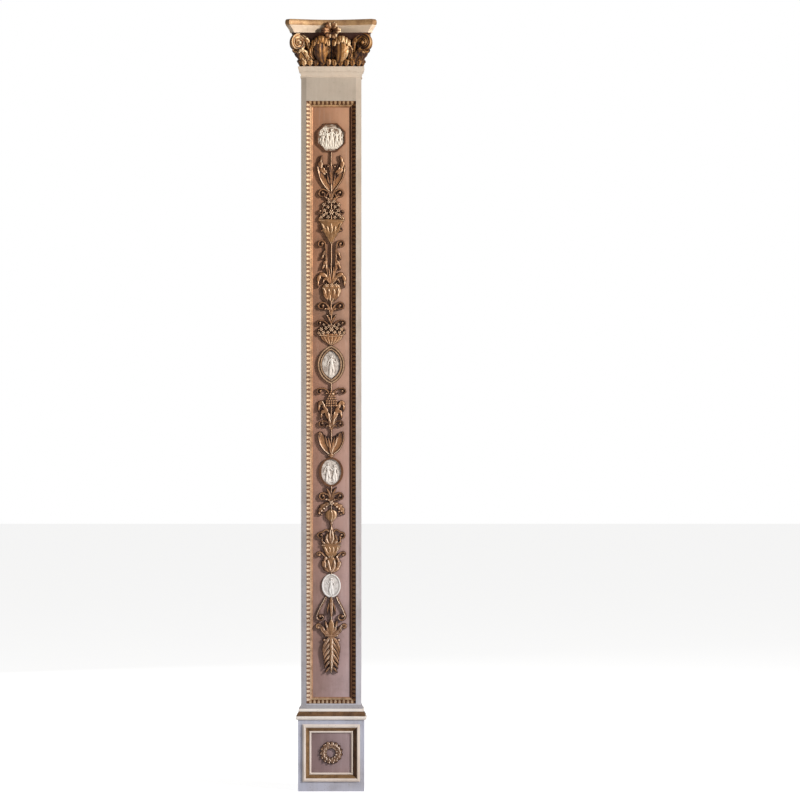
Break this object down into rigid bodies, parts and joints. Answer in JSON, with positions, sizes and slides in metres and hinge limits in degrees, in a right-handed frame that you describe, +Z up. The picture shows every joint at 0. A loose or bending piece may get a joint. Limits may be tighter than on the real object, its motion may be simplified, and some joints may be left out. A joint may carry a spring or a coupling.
{
  "type": "pilaster",
  "caption": "Tall shallow pilaster: square pedestal with a wreath, sunk shaft panel with gilt candelabrum relief and plaster medallions, carved capital with corner volutes.",
  "frame": {"origin": "on the flat back that meets the wall, at the floor, on the middle line; the wall is the plane y = 0", "axes": "+Z up, +Y into the wall so that the carved front faces -Y, +X to the right of someone who looks at the front"},
  "size_m": [0.332, 0.136, 2.8],
  "materials": {
    "stile_paint": "old matt grey-cream paint",
    "panel_paint": "old matt dusty rose paint",
    "frame_gilding": "worn gilding on cream ground",
    "bead_gilding": "worn gilding, satin",
    "rim_gilding": "dark old gilding, satin",
    "relief_gilding": "dark old gilding, satin",
    "medallion_plaster": "matt white plaster",
    "capital_gilding": "old gilding, satin",
    "abacus_gilding": "cream paint and gilding"
  },
  "bodies": {
    "root": {"pedestal_block": "stile_paint", "pedestal_frame_top": "frame_gilding", "pedestal_frame_bottom": "frame_gilding", "pedestal_frame_left": "frame_gilding", "pedestal_frame_right": "frame_gilding", "pedestal_wreath": "relief_gilding", "base_moulding": "stile_paint", "left_side_board": "stile_paint", "right_side_board": "stile_paint", "bottom_rail": "stile_paint", "top_rail": "stile_paint", "shaft_panel": "panel_paint", "bead_moulding_top": "bead_gilding", "bead_moulding_bottom": "bead_gilding", "bead_moulding_left": "bead_gilding", "bead_moulding_right": "bead_gilding", "octagon_medallion": "medallion_plaster", "octagon_rim": "rim_gilding", "navette_medallion": "medallion_plaster", "navette_frame": "rim_gilding", "oval_medallion": "medallion_plaster", "oval_rim": "rim_gilding", "small_oval_medallion": "medallion_plaster", "candelabrum_top": "relief_gilding", "candelabrum_middle": "relief_gilding", "candelabrum_lower": "relief_gilding", "pendant_drop": "relief_gilding", "neck_moulding": "stile_paint", "capital": "capital_gilding", "abacus": "abacus_gilding", "abacus_flower": "abacus_gilding"}
  },
  "joints": []
}
